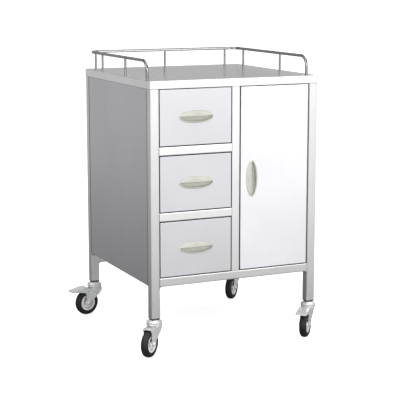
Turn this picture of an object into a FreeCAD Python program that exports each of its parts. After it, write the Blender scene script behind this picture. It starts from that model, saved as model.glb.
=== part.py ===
import FreeCAD, Part
import math
import os
import Sketcher

# Crash cart: a welded stainless cabinet on four swivel casters, with three drawers on the left,
# a hinged door on the right and a tube guard rail round three sides of the top.
# Frame: millimetres, +X to the cart's right, +Y to its back, +Z up, origin on the floor below the
# middle of the cabinet.

Vector = FreeCAD.Vector
Rotation = FreeCAD.Rotation
X_AXIS = Vector(1, 0, 0)
Y_AXIS = Vector(0, 1, 0)
Z_AXIS = Vector(0, 0, 1)

# Driving dimensions: alias, value in millimetres (or degrees), what it is.
DIMENSIONS = [
    ("width", 600, "tabletop across"),
    ("depth", 600, "tabletop front to back"),
    ("top_height", 885, "floor to tabletop"),
    ("rim_height", 25, "folded edge of the tabletop"),
    ("top_wall", 1.2, "tabletop sheet"),
    ("top_corner", 4, "plan corner of the tabletop"),
    ("leg_size", 30, "square tube of the legs"),
    ("tube", 28, "square tube of the rails, dividers and centre stile"),
    ("tube_wall", 1.5, "wall of the frame tubes"),
    ("tube_round", 3, "corner of the frame tubes"),
    ("leg_inset", 1.5, "legs behind the tabletop edge"),
    ("leg_foot", 123, "floor to the lower end of a leg"),
    ("front_rail_base", 225, "floor to the front bottom rail"),
    ("rear_rail_base", 188, "floor to the rear bottom rail"),
    ("panel_wall", 1.2, "sheet of the panels"),
    ("panel_fold", 20, "folded edge of the panels"),
    ("panel_inset", 0.5, "panels behind the outer face of the legs"),
    ("panel_gap", 1, "joint between a panel and a leg"),
    ("sheet_bend", 1.5, "outer bend radius of the sheet parts"),
    ("front_gap", 2.5, "gap round the drawer fronts, and above and below the door"),
    ("door_gap", 4, "gap at the door's free edge"),
    ("front_inset", 0.5, "fronts behind the face of the frame"),
    ("front_thick", 18, "folded depth of the fronts"),
    ("front_wall", 1.2, "sheet of the fronts"),
    ("slide_space", 13, "width taken by one slide"),
    ("slide_rise", 62, "opening's lower edge to the middle of a slide"),
    ("track_tall", 44, "height of a slide track"),
    ("track_thick", 10, "thickness of a slide track"),
    ("track_wall", 1.5, "sheet of a slide track"),
    ("track_lip", 6, "lips of a slide track"),
    ("track_front", 277, "front end of the tracks, ahead of the middle"),
    ("track_long", 554, "length of the tracks"),
    ("runner_long", 500, "length of the runners"),
    ("box_long", 520, "drawer box front to back"),
    ("box_tall", 140, "drawer box height"),
    ("box_rise", 12, "opening's lower edge to the drawer box"),
    ("box_wall", 1, "drawer box sheet"),
    ("handle_long", 122, "flush pull, long way"),
    ("handle_short", 41, "flush pull, short way"),
    ("handle_proud", 6, "flush pull in front of its panel"),
    ("handle_deep", 14.5, "flush pull's cup behind its panel"),
    ("handle_rim", 3.5, "flush pull's rim outside its cup"),
    ("handle_wall", 1.8, "wall of the flush pull"),
    ("visor_edge", 2.5, "lower edge of the visor above the pull's middle"),
    ("rib_long", 9, "grip rib on the visor"),
    ("door_handle_out", 44, "door pull's middle from the centre stile"),
    ("hinge_gap", 4.2, "gap for the hinge between the door and its leg"),
    ("hinge_pin", 1.8, "pin of the hinge"),
    ("knuckle_size", 3.2, "knuckles of the hinge"),
    ("knuckle_long", 14, "length of a knuckle"),
    ("knuckle_space", 0.4, "play between two knuckles"),
    ("leaf_wall", 0.8, "sheet of the hinge's leaves"),
    ("leaf_wide", 14, "leaves of the hinge from its pin"),
    ("leaf_clear", 2, "leaves' clear distance from the other leaf's knuckles"),
    ("shelf_height", 565, "floor to the top of the shelf"),
    ("shelf_tall", 20, "folded edge of the shelf"),
    ("bracket_size", 16, "shelf bracket angle"),
    ("rail_rise", 59.5, "tabletop to the middle of the guard rail"),
    ("rail_tube", 10, "guard rail tube"),
    ("rail_inset", 14, "middle of the guard rail from the tabletop edge"),
    ("rail_bend", 36, "bends of the guard rail"),
    ("rail_end", 245, "front ends of the guard rail, ahead of the middle"),
    ("post_size", 8, "guard rail post"),
    ("side_post_back", 226, "rear side post behind the middle"),
    ("side_post_front", 57, "front side post ahead of the middle"),
    ("back_post_out", 239, "outer back post from the middle"),
    ("wheel_size", 90, "caster wheel"),
    ("wheel_width", 23, "caster tyre"),
    ("core_size", 57, "wheel core"),
    ("caster_trail", 34, "swivel axis to wheel axle"),
    ("fork_gap", 27, "inside width of the fork"),
    ("fork_wall", 2.5, "fork sheet"),
    ("crown_base", 92, "floor to the underside of the fork crown"),
    ("crown_top", 95.5, "floor to the top of the fork crown"),
    ("race_top", 99, "floor to the top of the fork's race"),
    ("head_base", 100, "floor to the caster head"),
    ("head_size", 50, "caster head"),
    ("head_tall", 17, "height of the caster head"),
    ("kingpin", 10, "caster kingpin and stem"),
    ("axle_size", 8, "wheel axle"),
    ("pedal_pin_out", 60, "swivel axis to the brake pedal's pin"),
    ("pedal_pin_height", 93, "floor to the brake pedal's pin"),
    ("pedal_pin", 5, "brake pedal's pin"),
    ("pedal_tip_out", 99, "swivel axis to the brake pedal's tip"),
    ("heading_front_left", -139.5, "rest heading of the caster, degrees"),
    ("heading_front_right", -133.5, "rest heading of the caster, degrees"),
    ("heading_rear_left", -166.5, "rest heading of the caster, degrees"),
    ("heading_rear_right", -136.5, "rest heading of the caster, degrees"),
]


class Measure:
    """A size that carries its value together with the sheet formula it comes from."""

    def __init__(self, value, text):
        self.value = value
        self.text = text

    def __add__(self, other):
        other = measure(other)
        return Measure(self.value + other.value, f"({self.text} + {other.text})")

    def __sub__(self, other):
        other = measure(other)
        return Measure(self.value - other.value, f"({self.text} - {other.text})")

    def __mul__(self, factor):
        return Measure(self.value * factor, f"({self.text} * {factor})")

    def __truediv__(self, divisor):
        return Measure(self.value / divisor, f"({self.text} / {divisor})")

    def __neg__(self):
        return self * -1

    def __radd__(self, other):
        return measure(other) + self

    def __rsub__(self, other):
        return measure(other) - self

    __rmul__ = __mul__


def measure(size):
    """Any number or Measure as a Measure."""
    return size if isinstance(size, Measure) else Measure(float(size), f"({float(size)})")


class Sizes:
    """The driving dimensions by name, each one a Measure of its spreadsheet cell."""

    def __init__(self, sheet):
        for row, (alias, value, note) in enumerate(DIMENSIONS, start=1):
            sheet.set(f"A{row}", alias.replace("_", " "))
            sheet.set(f"B{row}", str(value))
            sheet.setAlias(f"B{row}", alias)
            sheet.set(f"C{row}", note)
            setattr(self, alias, Measure(float(value), f"{sheet.Name}.{alias}"))


doc = FreeCAD.newDocument("crash_cart")
size = Sizes(doc.addObject("Spreadsheet::Sheet", "Dimensions"))
doc.recompute()
nodes = []

# Places that several parts share.
leg_face = size.width / 2 - size.leg_inset
leg_middle = leg_face - size.leg_size / 2
leg_inner = leg_face - size.leg_size
half_tube = size.tube / 2
rail_middle = leg_face - half_tube
rail_inner = leg_face - size.tube
under_top = size.top_height - size.top_wall
rim_base = size.top_height - size.rim_height
front_rail_top = size.front_rail_base + size.tube
opening_tall = (rim_base - front_rail_top - size.tube * 2) / 3
opening_wide = leg_inner - half_tube
front_face = -(leg_face - size.front_inset)
front_back = front_face + size.front_thick
panel_face = leg_face - size.panel_inset
bay_middle = (leg_inner + half_tube) / 2
box_wide = opening_wide - size.slide_space * 2
wheel_radius = size.wheel_size / 2
rail_height = size.top_height + size.rail_rise
rail_out = size.width / 2 - size.rail_inset
door_wide = opening_wide - size.door_gap - size.hinge_gap
door_middle = half_tube + size.door_gap + door_wide / 2
pivot_x = leg_inner - size.hinge_gap / 2
pivot_y = front_face + size.knuckle_size / 2 + 0.2
DRAWERS = ("bottom", "middle", "top")
CORNERS = {
    "front_left": (-1, -1),
    "front_right": (1, -1),
    "rear_left": (-1, 1),
    "rear_right": (1, 1),
}
BRAKED = ("front_right", "rear_left")


# ---------------------------------------------------------------- helpers

def link(thing, **formulas):
    """Bind properties of an object to the sheet; __ in a keyword stands for a dot."""
    for name, value in formulas.items():
        thing.setExpression(name.replace("__", "."), measure(value).text)


def place(thing, x=0, y=0, z=0, turn=None):
    """Give an object its Placement, with the position bound to the sheet."""
    spot = Vector(measure(x).value, measure(y).value, measure(z).value)
    thing.Placement = FreeCAD.Placement(spot, turn or Rotation())
    link(thing, Placement__Base__x=x, Placement__Base__y=y, Placement__Base__z=z)
    return thing


def keep(thing, name):
    """Make an object a node of the assembly."""
    thing.Label = name
    nodes.append(thing)
    return thing


def part(kind, name, **formulas):
    """A Part primitive or boolean with its sizes bound to the sheet."""
    thing = doc.addObject(f"Part::{kind}", name)
    link(thing, **formulas)
    return thing


def box(name, x, y, z):
    """A box between pairs of coordinates."""
    block = part("Box", name, Length=x[1] - x[0], Width=y[1] - y[0], Height=z[1] - z[0])
    return place(block, x[0], y[0], z[0])


def rod(name, diameter, long, x, y, z, turn=None):
    """A round rod along its own +Z from the given point."""
    bar = part("Cylinder", name, Radius=diameter / 2, Height=long)
    return place(bar, x, y, z, turn)


def cut(name, base, tool):
    result = doc.addObject("Part::Cut", name)
    result.Base = base
    result.Tool = tool
    return result


def fuse(name, pieces):
    result = doc.addObject("Part::MultiFuse", name)
    result.Shapes = pieces
    return result


def group(name, pieces):
    """Separate identical solids that share one node."""
    result = doc.addObject("Part::Compound", name)
    result.Links = pieces
    return result


def body(name):
    return doc.addObject("PartDesign::Body", name)


def sketch(owner, plane, name, lift=0):
    """A sketch on one of the body's origin planes, lifted along the plane's normal."""
    drawing = owner.newObject("Sketcher::SketchObject", name)
    base = next(item for item in owner.Origin.OriginFeatures if item.Role == plane)
    drawing.AttachmentSupport = [(base, "")]
    drawing.MapMode = "FlatFace"
    link(drawing, AttachmentOffset__Base__z=lift)
    return drawing


def hold(drawing, name, kind, *references, value):
    """A dimension of a sketch bound to the sheet."""
    number = drawing.addConstraint(Sketcher.Constraint(kind, *references, measure(value).value))
    drawing.renameConstraint(number, name)
    drawing.setExpression(f"Constraints.{name}", measure(value).text)


def polygon(drawing, points, label="point"):
    """A closed outline of straight lines whose corners are bound to the sheet."""
    corners = [Vector(measure(x).value, measure(y).value, 0) for x, y in points]
    first = drawing.GeometryCount
    count = len(corners)
    for number in range(count):
        drawing.addGeometry(Part.LineSegment(corners[number], corners[(number + 1) % count]), False)
    for number in range(count):
        following = first + (number + 1) % count
        drawing.addConstraint(Sketcher.Constraint("Coincident", first + number, 2, following, 1))
    for number, (x, y) in enumerate(points):
        line = first + number
        if abs(measure(x).value) < 1e-9:
            drawing.addConstraint(Sketcher.Constraint("PointOnObject", line, 1, -2))
        else:
            hold(drawing, f"{label}_x{number}", "DistanceX", -1, 1, line, 1, value=x)
        if abs(measure(y).value) < 1e-9:
            drawing.addConstraint(Sketcher.Constraint("PointOnObject", line, 1, -1))
        else:
            hold(drawing, f"{label}_y{number}", "DistanceY", -1, 1, line, 1, value=y)


def rounded_rectangle(drawing, wide, tall, corner, label="outline"):
    """A rectangle about the sketch's origin with round corners."""
    half_wide = measure(wide).value / 2
    half_tall = measure(tall).value / 2
    radius = measure(corner).value
    first = drawing.GeometryCount
    corners = [(1, -1, -90), (1, 1, 0), (-1, 1, 90), (-1, -1, 180)]
    previous = Vector(radius - half_wide, -half_tall, 0)
    for right, up, start in corners:
        centre = Vector(right * (half_wide - radius), up * (half_tall - radius), 0)
        angles = [math.radians(start), math.radians(start + 90)]
        ends = [centre + Vector(math.cos(a), math.sin(a), 0) * radius for a in angles]
        drawing.addGeometry(Part.LineSegment(previous, ends[0]), False)
        circle = Part.Circle(centre, Z_AXIS, radius)
        drawing.addGeometry(Part.ArcOfCircle(circle, angles[0], angles[1]), False)
        previous = ends[1]
    for number in range(8):
        following = first + (number + 1) % 8
        drawing.addConstraint(Sketcher.Constraint("Tangent", first + number, 2, following, 1))
    for number, kind in enumerate(("Horizontal", "Vertical", "Horizontal", "Vertical")):
        drawing.addConstraint(Sketcher.Constraint(kind, first + 2 * number))
    for number in (3, 5, 7):
        drawing.addConstraint(Sketcher.Constraint("Equal", first + 1, first + number))
    opposite = Sketcher.Constraint("Symmetric", first + 1, 3, first + 5, 3, -1, 1)
    drawing.addConstraint(opposite)
    hold(drawing, f"{label}_wide", "DistanceX", first + 6, 1, first + 2, 1, value=wide)
    hold(drawing, f"{label}_tall", "DistanceY", first, 1, first + 4, 1, value=tall)
    hold(drawing, f"{label}_corner", "Radius", first + 1, value=corner)


def circle(drawing, diameter, x=0, y=0, label="hole"):
    """A circle whose place and diameter are bound to the sheet."""
    centre = Vector(measure(x).value, measure(y).value, 0)
    number = drawing.addGeometry(Part.Circle(centre, Z_AXIS, measure(diameter).value / 2), False)
    hold(drawing, f"{label}_size", "Diameter", number, value=diameter)
    for axis, kind, offset in ((-2, "DistanceX", x), (-1, "DistanceY", y)):
        if abs(measure(offset).value) < 1e-9:
            drawing.addConstraint(Sketcher.Constraint("PointOnObject", number, 3, axis))
        else:
            hold(drawing, f"{label}_{kind}", kind, -1, 1, number, 3, value=offset)


def ellipse(drawing, wide, tall):
    """An ellipse about the sketch's origin, its long way along the sketch's first axis."""
    long_end = Vector(measure(wide).value / 2, 0, 0)
    short_end = Vector(0, measure(tall).value / 2, 0)
    number = drawing.addGeometry(Part.Ellipse(long_end, short_end, Vector(0, 0, 0)), False)
    drawing.exposeInternalGeometry(number)
    drawing.addConstraint(Sketcher.Constraint("Coincident", number, 3, -1, 1))
    drawing.addConstraint(Sketcher.Constraint("Horizontal", number + 1))
    hold(drawing, "wide", "Distance", number + 1, value=wide)
    hold(drawing, "tall", "Distance", number + 2, value=tall)


def feature(owner, kind, profile, length=None, reverse=False, name=None):
    """A Pad, Pocket, Revolution or Groove of a sketch; the caller checks what it did."""
    result = owner.newObject(f"PartDesign::{kind}", name or f"{owner.Name}_{kind}")
    result.Profile = profile
    result.Reversed = reverse
    if length is not None:
        link(result, Length=length)
    profile.Visibility = False
    return result


def pocket(owner, profile, length, reverse=False):
    """A Pocket that must take material away."""
    doc.recompute()
    before = owner.Shape.Volume
    result = feature(owner, "Pocket", profile, length, reverse)
    doc.recompute()
    if not result.Shape.Volume < before - 0.1:
        raise RuntimeError(f"the pocket in {owner.Name} cuts nothing")
    return result


def turned(name, points, plane="XZ_Plane", axis="V_Axis"):
    """A body of revolution from a closed outline beside the axis."""
    owner = body(name)
    outline = sketch(owner, plane, f"{name}_outline")
    polygon(outline, points)
    spin = owner.newObject("PartDesign::Revolution", f"{name}_turn")
    spin.Profile = outline
    spin.ReferenceAxis = (outline, [axis])
    spin.Angle = 360
    outline.Visibility = False
    return owner


def dress(owner, kind, amount, wanted):
    """A Fillet or Chamfer on every edge of the body's tip that the test wants."""
    doc.recompute()
    tip = owner.Tip
    edges = [f"Edge{n}" for n, edge in enumerate(tip.Shape.Edges, start=1) if wanted(edge)]
    if not edges:
        raise RuntimeError(f"no edge of {owner.Name} to dress")
    result = owner.newObject(f"PartDesign::{kind}", f"{owner.Name}_{kind}")
    result.Base = (tip, edges)
    link(result, **{"Radius" if kind == "Fillet" else "Size": amount})
    return result


def level(height):
    """An edge test: the whole edge lies at this height of its own body's frame."""
    target = measure(height).value
    return lambda edge: abs(edge.BoundBox.ZMin - target) < 1e-4 and abs(edge.BoundBox.ZMax - target) < 1e-4


def ring(radius, height):
    """An edge test: a full circle of this radius at this height."""
    wanted = measure(radius).value
    flat = level(height)
    return lambda edge: flat(edge) and abs(edge.BoundBox.XLength - 2 * wanted) < 1e-3


def tube(name, wide, deep, long, wall, corner):
    """A rectangular tube along its own +Z, centred on the axis."""
    owner = body(name)
    outline = sketch(owner, "XY_Plane", f"{name}_section")
    rounded_rectangle(outline, wide, deep, corner)
    feature(owner, "Pad", outline, long)
    inside = sketch(owner, "XY_Plane", f"{name}_bore")
    rounded_rectangle(inside, wide - wall * 2, deep - wall * 2, corner - wall * 0.8)
    pocket(owner, inside, long, reverse=True)
    return owner


def pan(name, wide, tall, fold, wall, corner, bend):
    """A folded sheet pan: its skin faces its own +Z at height 0 and its folds point down."""
    owner = body(name)
    outline = sketch(owner, "XY_Plane", f"{name}_outline")
    rounded_rectangle(outline, wide, tall, corner)
    feature(owner, "Pad", outline, fold, reverse=True)
    dress(owner, "Fillet", bend, level(0))
    inside = sketch(owner, "XY_Plane", f"{name}_inside", lift=-wall)
    rounded_rectangle(inside, wide - wall * 2, tall - wall * 2, corner - wall * 0.6)
    pocket(owner, inside, fold - wall)
    return owner


FACE_FRONT = Rotation(X_AXIS, 90)     # own +Z to the front, own +Y up
FACE_BACK = Rotation(X_AXIS, -90)     # own +Z to the back, own +Y down
FACE_LEFT = Rotation(Y_AXIS, -90)     # own +Z to the left, own +X up
FACE_RIGHT = Rotation(Y_AXIS, 90)     # own +Z to the right, own +X down
FACE_DOWN = Rotation(X_AXIS, 180)     # own +Z down


# ---------------------------------------------------------------- frame

def frame_tube(name, wide, deep, long, x, y, z, turn=None):
    piece = tube(name, wide, deep, long, size.tube_wall, size.tube_round)
    return place(piece, x, y, z, turn)


def legs():
    for corner, (right, back) in CORNERS.items():
        name = f"leg_{corner}"
        leg = frame_tube(name, size.leg_size, size.leg_size, under_top - size.leg_foot,
                         leg_middle * right, leg_middle * back, size.leg_foot)
        keep(leg, name)


def leg_end_plugs():
    """Plastic inserts that close the legs and take the caster stems."""
    plugs = []
    flange = size.top_wall * 2.5
    for corner, (right, back) in CORNERS.items():
        plug = body(f"plug_{corner}")
        cap = sketch(plug, "XY_Plane", f"cap_{corner}")
        rounded_rectangle(cap, size.leg_size, size.leg_size, size.tube_round)
        feature(plug, "Pad", cap, flange, reverse=True)
        spigot = sketch(plug, "XY_Plane", f"spigot_{corner}")
        side = size.leg_size - size.tube_wall * 2 - 0.4
        rounded_rectangle(spigot, side, side, size.tube_round / 2)
        feature(plug, "Pad", spigot, size.tube * 1.25, name=f"spigot_pad_{corner}")
        bore = sketch(plug, "XY_Plane", f"stem_hole_{corner}", lift=-flange)
        circle(bore, size.kingpin + 0.2)
        pocket(plug, bore, size.tube * 1.25 + flange, reverse=True)
        plugs.append(place(plug, leg_middle * right, leg_middle * back, size.leg_foot))
    keep(group("leg_end_plugs", plugs), "leg_end_plugs")


def cross_rail(name, wide, tall, y, base):
    """A tube from left leg to right leg; own +Z runs to the cart's right."""
    rail = frame_tube(name, tall, wide, leg_inner * 2, -leg_inner, y, base + tall / 2, FACE_RIGHT)
    return keep(rail, name)


def frame_rails():
    cross_rail("front_bottom_rail", size.tube, size.tube, -rail_middle, size.front_rail_base)
    cross_rail("rear_bottom_rail", size.tube, size.tube, rail_middle, size.rear_rail_base)
    cross_rail("front_top_rail", size.tube, under_top - rim_base, -rail_middle, rim_base)


def drawer_dividers():
    bars = []
    for number in (1, 2):
        base = front_rail_top + opening_tall * number + size.tube * (number - 1)
        bar = frame_tube(f"divider_{number}", size.tube, size.tube, opening_wide,
                         -leg_inner, -rail_middle, base + half_tube, FACE_RIGHT)
        bars.append(bar)
    keep(group("drawer_dividers", bars), "drawer_dividers")


def centre_stile():
    stile = frame_tube("centre_stile", size.tube, size.tube, rim_base - front_rail_top,
                       0, -rail_middle, front_rail_top)
    keep(stile, "centre_stile")


# ---------------------------------------------------------------- sheet metal

def body_panel(name, wide, tall):
    return pan(name, wide, tall, size.panel_fold, size.panel_wall, size.sheet_bend, size.sheet_bend)


def side_panels():
    base = size.front_rail_base
    top = under_top - 0.3
    wide = (leg_inner - size.panel_gap) * 2
    for name, right, turn in (("side_panel_left", -1, FACE_LEFT), ("side_panel_right", 1, FACE_RIGHT)):
        panel = body_panel(name, top - base, wide)
        keep(place(panel, panel_face * right, 0, (top + base) / 2, turn), name)


def back_panel():
    base = size.rear_rail_base + size.tube
    top = under_top - 0.3
    panel = body_panel("back_panel", (leg_inner - size.panel_gap) * 2, top - base)
    keep(place(panel, 0, panel_face, (top + base) / 2, FACE_BACK), "back_panel")


def floor_corners(inset):
    """Outline of the cabinet floor: a rectangle with a tongue between the rear legs."""
    side = panel_face - size.panel_wall - 0.5 - inset
    middle = leg_inner - size.panel_gap - size.panel_wall - 0.5 - inset
    tongue = leg_inner - size.panel_gap - size.panel_wall - 0.8 - inset
    rear = panel_face - size.panel_wall - 0.3 - inset
    return [(-side, -middle), (side, -middle), (side, middle), (tongue, middle),
            (tongue, rear), (-tongue, rear), (-tongue, middle), (-side, middle)]


def floor_panel():
    """The cabinet floor, a pan between the rails with its folds down."""
    floor = body("floor_panel")
    outline = sketch(floor, "XY_Plane", "floor_outline")
    polygon(outline, floor_corners(measure(0)))
    feature(floor, "Pad", outline, size.panel_fold, reverse=True)
    inside = sketch(floor, "XY_Plane", "floor_inside", lift=-size.panel_wall)
    polygon(inside, floor_corners(size.panel_wall))
    pocket(floor, inside, size.panel_fold - size.panel_wall)
    keep(place(floor, 0, 0, front_rail_top), "floor_panel")


def partition_panel():
    """Double-skinned wall between the drawers and the cupboard."""
    front = -rail_inner
    rear = panel_face - size.panel_wall - 0.3
    wall = tube("partition_panel", size.tube, rear - front, under_top - front_rail_top - 2,
                size.panel_wall, size.sheet_bend)
    keep(place(wall, 0, (front + rear) / 2, front_rail_top), "partition_panel")


def post_spots():
    """Where the guard rail's posts stand: two on each side and three at the back."""
    sides = [(rail_out * side, y) for side in (-1, 1) for y in (size.side_post_back, -size.side_post_front)]
    return sides + [(size.back_post_out * side, rail_out) for side in (-1, 0, 1)]


def tabletop():
    """The top, a pan with its folds down and holes for the feet of the guard rail and its posts."""
    top = pan("tabletop", size.width, size.depth, size.rim_height, size.top_wall,
              size.top_corner, size.sheet_bend)
    feet = sketch(top, "XY_Plane", "rail_foot_holes")
    for number, (x, y) in enumerate(post_spots()):
        circle(feet, size.post_size + 0.1, x, y, label=f"post{number}")
    for label, side in (("left", -1), ("right", 1)):
        circle(feet, size.rail_tube + 0.1, rail_out * side, -size.rail_end, label=f"rail_{label}")
    pocket(top, feet, size.top_wall)
    keep(place(top, 0, 0, size.top_height), "tabletop")


def shelf():
    """The cupboard shelf and the two angles that carry it."""
    left = half_tube + 0.3
    right = panel_face - size.panel_wall - 0.3
    front = -(rail_inner - size.tube_wall * 5)
    rear = leg_inner - size.panel_gap - size.panel_wall - 1.2
    board = pan("shelf", right - left, rear - front, size.shelf_tall, size.panel_wall,
                size.sheet_bend, size.sheet_bend)
    keep(place(board, (left + right) / 2, (front + rear) / 2, size.shelf_height), "shelf")
    under = size.shelf_height - size.shelf_tall
    angles = []
    for name, wall, side in (("left", half_tube, 1), ("right", panel_face - size.panel_wall, -1)):
        angle = body(f"shelf_bracket_{name}")
        section = sketch(angle, "XZ_Plane", f"bracket_section_{name}")
        reach = size.bracket_size * side
        thick = size.tube_wall * side
        polygon(section, [(0, 0), (reach, 0), (reach, -size.tube_wall), (thick, -size.tube_wall),
                          (thick, -size.bracket_size), (0, -size.bracket_size)])
        feature(angle, "Pad", section, size.bracket_size * 30)
        angles.append(place(angle, wall, size.bracket_size * 15, under))
    keep(group("shelf_brackets", angles), "shelf_brackets")


# ---------------------------------------------------------------- guard rail

def rail_path():
    """Middle line of the guard rail: up from the top, along the left, back and right, and down."""
    out, rise, bend = rail_out.value, rail_height.value, size.rail_bend.value
    end, base = size.rail_end.value, under_top.value
    stops = [
        (Vector(-out, -end, base), Vector(-out, -end, rise), Vector(-out, out, rise)),
        (Vector(-out, -end, rise), Vector(-out, out, rise), Vector(out, out, rise)),
        (Vector(-out, out, rise), Vector(out, out, rise), Vector(out, -end, rise)),
        (Vector(out, out, rise), Vector(out, -end, rise), Vector(out, -end, base)),
    ]
    edges = []
    here = stops[0][0]
    for before, corner, after in stops:
        arriving = (corner - before).normalize()
        leaving = (after - corner).normalize()
        start = corner - arriving * bend
        finish = corner + leaving * bend
        middle = corner + (leaving - arriving) * bend * (1 - math.sqrt(0.5))
        edges.append(Part.LineSegment(here, start).toShape())
        edges.append(Part.Arc(start, middle, finish).toShape())
        here = finish
    edges.append(Part.LineSegment(here, stops[-1][2]).toShape())
    path = doc.addObject("Part::Feature", "guard_rail_path")
    path.Shape = Part.Wire(edges)
    return path


def guard_rail():
    path = rail_path()
    section = part("Circle", "guard_rail_section", Radius=size.rail_tube / 2)
    place(section, -rail_out, -size.rail_end, under_top)
    doc.recompute()
    rail = doc.addObject("Part::Sweep", "guard_rail")
    rail.Sections = [section]
    rail.Spine = (path, [f"Edge{n}" for n in range(1, len(path.Shape.Edges) + 1)])
    rail.Solid = True
    rail.Frenet = False
    keep(rail, "guard_rail")


def rail_posts():
    """Posts between the tabletop and the guard rail, coped to the rail's round."""
    posts = []
    for number, (x, y) in enumerate(post_spots(), start=1):
        along_side = number <= 4
        post = rod(f"post_{number}", size.post_size, rail_height - under_top, x, y, under_top)
        if along_side:
            cope = rod(f"cope_{number}", size.rail_tube, size.tube, x, y + half_tube, rail_height,
                       Rotation(X_AXIS, 90))
        else:
            cope = rod(f"cope_{number}", size.rail_tube, size.tube, x - half_tube, y, rail_height,
                       Rotation(Y_AXIS, 90))
        posts.append(cut(f"coped_post_{number}", post, cope))
    keep(group("rail_posts", posts), "rail_posts")


# ---------------------------------------------------------------- drawers

def drawer_base(number):
    """Lower edge of a drawer's opening."""
    return front_rail_top + (opening_tall + size.tube) * number


def slide_track(name, side, x, z):
    """A lipped channel along the cart's depth, open towards the drawer."""
    track = body(name)
    section = sketch(track, "XZ_Plane", f"{name}_section")
    half = size.track_tall / 2
    thick = size.track_thick * side
    wall = size.track_wall * side
    lip = half - size.track_lip
    polygon(section, [(0, -half), (thick, -half), (thick, -lip), (thick - wall, -lip),
                      (thick - wall, size.track_wall - half), (wall, size.track_wall - half),
                      (wall, half - size.track_wall), (thick - wall, half - size.track_wall),
                      (thick - wall, lip), (thick, lip), (thick, half), (0, half)])
    feature(track, "Pad", section, size.track_long)
    return place(track, x, size.track_long - size.track_front, z)


def slide_tracks():
    tracks = []
    for number, label in enumerate(DRAWERS):
        z = drawer_base(number) + size.slide_rise
        tracks.append(slide_track(f"track_{label}_left", 1, -leg_inner, z))
        tracks.append(slide_track(f"track_{label}_right", -1, -half_tube, z))
    keep(group("slide_tracks", tracks), "slide_tracks")


def slide_runner(name, side, x, z):
    """The drawer's half of a slide: a bar held behind the track's lips, with its foot on the box."""
    runner = body(name)
    section = sketch(runner, "XZ_Plane", f"{name}_section")
    head = size.track_tall / 2 - size.track_wall - 2
    neck = size.track_tall / 2 - size.track_lip - 3
    near = (size.track_wall + 1.5) * side
    far = (size.track_thick - size.track_wall - 1.5) * side
    foot = size.slide_space * side
    polygon(section, [(near, -head), (far, -head), (far, -neck), (foot, -neck),
                      (foot, neck), (far, neck), (far, head), (near, head)])
    feature(runner, "Pad", section, size.runner_long)
    return place(runner, x, front_back + size.runner_long, z)


def flush_pull(name):
    """An oval recessed pull. Own +Z is out of the panel, own +Y is the visor's side."""
    long_half = size.handle_long / 2
    short_half = size.handle_short / 2
    cup_long = long_half - size.handle_rim
    cup_short = short_half - size.handle_rim
    inner_long = cup_long - size.handle_wall
    inner_short = cup_short - size.handle_wall
    thin = size.handle_proud - size.handle_wall

    def dome(label, long_way, short_way, height, upper):
        """Half an ellipsoid on the panel's plane."""
        half = part("Ellipsoid", f"{name}_{label}", Radius1=height, Radius2=long_way, Radius3=short_way)
        half.Angle1, half.Angle2 = (0, 90) if upper else (-90, 0)
        return half

    shell = fuse(f"{name}_shell", [
        dome("bezel", long_half, short_half, size.handle_proud, True),
        dome("cup", cup_long, cup_short, size.handle_deep, False),
    ])
    mouth_room = dome("mouth_room", inner_long, inner_short, size.handle_proud * 6, True)
    mouth_side = box(f"{name}_mouth_side", (-long_half, long_half), (-short_half, size.visor_edge),
                     (measure(-1), size.handle_proud * 2))
    mouth = doc.addObject("Part::Common", f"{name}_mouth")
    mouth.Base = mouth_room
    mouth.Tool = mouth_side
    hollow = fuse(f"{name}_hollow", [
        dome("bowl", inner_long, inner_short, size.handle_deep - size.handle_wall, False),
        dome("grip_room", inner_long, inner_short, thin, True),
        mouth,
    ])
    pull = cut(f"{name}_open", shell, hollow)
    ribs = []
    for number in (-1, 0, 1):
        rib = part("Ellipsoid", f"{name}_rib_{number + 2}", Radius1=size.handle_wall * 0.7,
                   Radius2=size.rib_long / 6, Radius3=size.rib_long / 2)
        rib_y = (size.visor_edge + short_half) / 2
        place(rib, size.rib_long * number * 0.9, rib_y, size.handle_proud * 0.78)
        ribs.append(rib)
    return fuse(name, [pull] + ribs)


def front_pan(name, wide, tall, pull_x=0, pull_turn=Rotation()):
    """A drawer front or door skin with the oval hole for its pull."""
    front = pan(name, wide, tall, size.front_thick, size.front_wall, size.sheet_bend, size.sheet_bend)
    hole = sketch(front, "XY_Plane", f"{name}_pull_hole")
    hole.AttachmentOffset = FreeCAD.Placement(Vector(measure(pull_x).value, 0, 0), pull_turn)
    link(hole, AttachmentOffset__Base__x=pull_x)
    rim = size.handle_rim - 0.4
    ellipse(hole, size.handle_long - rim * 2, size.handle_short - rim * 2)
    pocket(front, hole, size.front_wall * 2)
    return front


def drawer(number, label):
    name = f"drawer_{label}"
    base = drawer_base(number)
    wide = opening_wide - size.front_gap * 2
    tall = opening_tall - size.front_gap * 2
    middle = base + opening_tall / 2
    front = front_pan(f"{name}_front", wide, tall)
    keep(place(front, -bay_middle, front_face, middle, FACE_FRONT), f"{name}_front")
    pull = flush_pull(f"{name}_handle")
    keep(place(pull, -bay_middle, front_face, middle, FACE_FRONT), f"{name}_handle")
    tray = pan(f"{name}_box", box_wide, size.box_long, size.box_tall, size.box_wall,
               size.sheet_bend, size.box_wall * 0.8)
    keep(place(tray, -bay_middle, front_back + size.box_long / 2, base + size.box_rise, FACE_DOWN),
         f"{name}_box")
    runners = [
        slide_runner(f"{name}_runner_left", 1, -leg_inner, base + size.slide_rise),
        slide_runner(f"{name}_runner_right", -1, -half_tube, base + size.slide_rise),
    ]
    keep(group(f"{name}_runners", runners), f"{name}_runners")


# ---------------------------------------------------------------- door

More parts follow.
